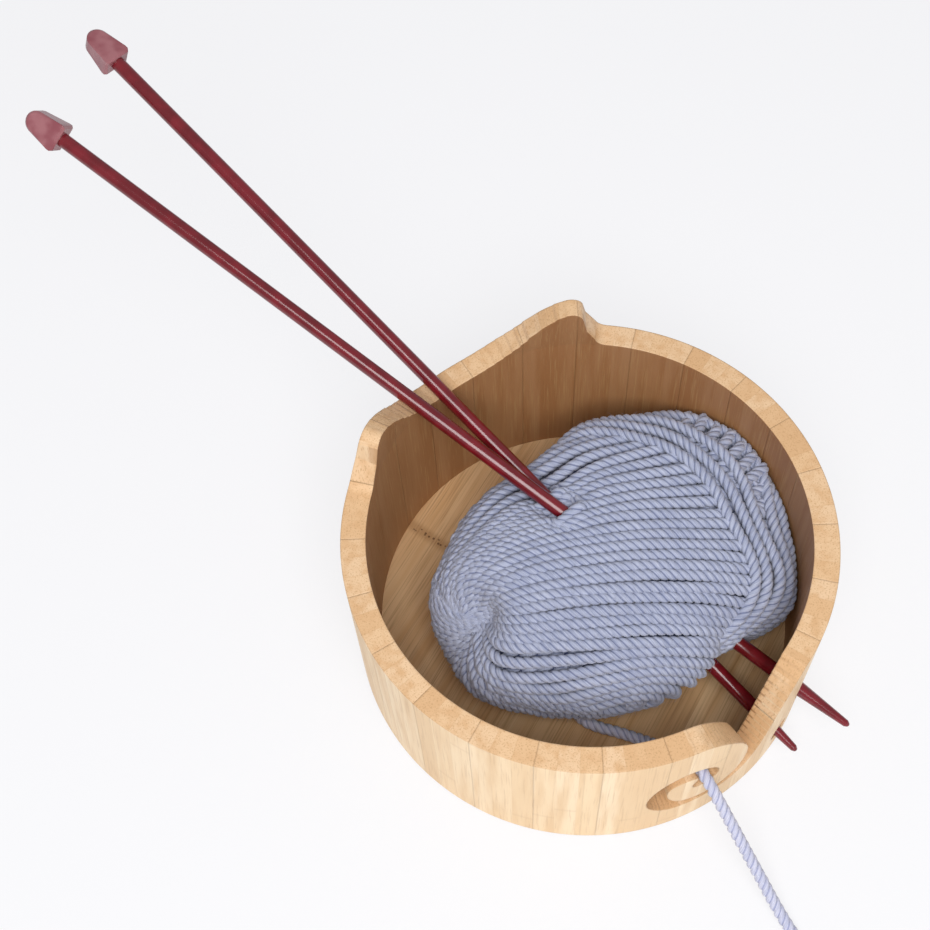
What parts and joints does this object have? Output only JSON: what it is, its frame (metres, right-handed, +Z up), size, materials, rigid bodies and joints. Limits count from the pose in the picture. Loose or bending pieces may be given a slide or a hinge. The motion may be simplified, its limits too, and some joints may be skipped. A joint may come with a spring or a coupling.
{
  "type": "yarn bowl",
  "caption": "Round bamboo yarn bowl with two cat ears, a curled yarn slot and needle holes, holding a wound ball of yarn and two knitting needles.",
  "frame": {"origin": "centre of the bowl's foot, on the surface it stands on", "axes": "+Z up, +Y towards the cat ears, -Y towards the curled yarn slot, +X to the right as seen from the slot side"},
  "size_m": [0.16, 0.4013, 0.1298],
  "materials": {
    "bamboo_pale": "satin",
    "bamboo_mid": "satin",
    "bamboo_warm": "satin",
    "bamboo_board": "satin",
    "yarn_inner": "matte",
    "yarn": "matte",
    "yarn_free": "matte",
    "needle_gloss": "gloss",
    "needle_head": "gloss"
  },
  "bodies": {
    "bowl": {"stave_01": "bamboo_mid", "stave_02": "bamboo_warm", "stave_03": "bamboo_pale", "stave_04": "bamboo_mid", "stave_05": "bamboo_warm", "stave_06": "bamboo_pale", "stave_07": "bamboo_mid", "stave_08": "bamboo_warm", "stave_09": "bamboo_pale", "stave_10": "bamboo_mid", "stave_11": "bamboo_warm", "stave_12": "bamboo_pale", "stave_13": "bamboo_mid", "stave_14": "bamboo_warm", "stave_15": "bamboo_pale", "stave_16": "bamboo_mid", "stave_17_upper": "bamboo_warm", "stave_17_lower": "bamboo_warm", "stave_18_upper": "bamboo_pale", "stave_18_lower": "bamboo_pale", "stave_19": "bamboo_mid", "stave_20": "bamboo_warm", "stave_21": "bamboo_pale", "stave_22": "bamboo_mid", "stave_23": "bamboo_warm", "stave_24": "bamboo_pale", "base_disc": "bamboo_board", "yarn_core": "yarn_inner", "yarn_winding": "yarn", "yarn_tail": "yarn_free"},
    "needle_a": {"needle_a_shaft": "needle_gloss", "needle_a_head": "needle_head"},
    "needle_b": {"needle_b_shaft": "needle_gloss", "needle_b_head": "needle_head"}
  },
  "joints": [
    {"name": "needle_a_slide", "type": "slide", "parent": "bowl", "child": "needle_a", "axis": [-0.3334, 0.8918, 0.3057], "range_m": [-0.045, 0.2]},
    {"name": "needle_b_slide", "type": "slide", "parent": "bowl", "child": "needle_b", "axis": [-0.1875, 0.9214, 0.3404], "range_m": [-0.025, 0.2]}
  ]
}
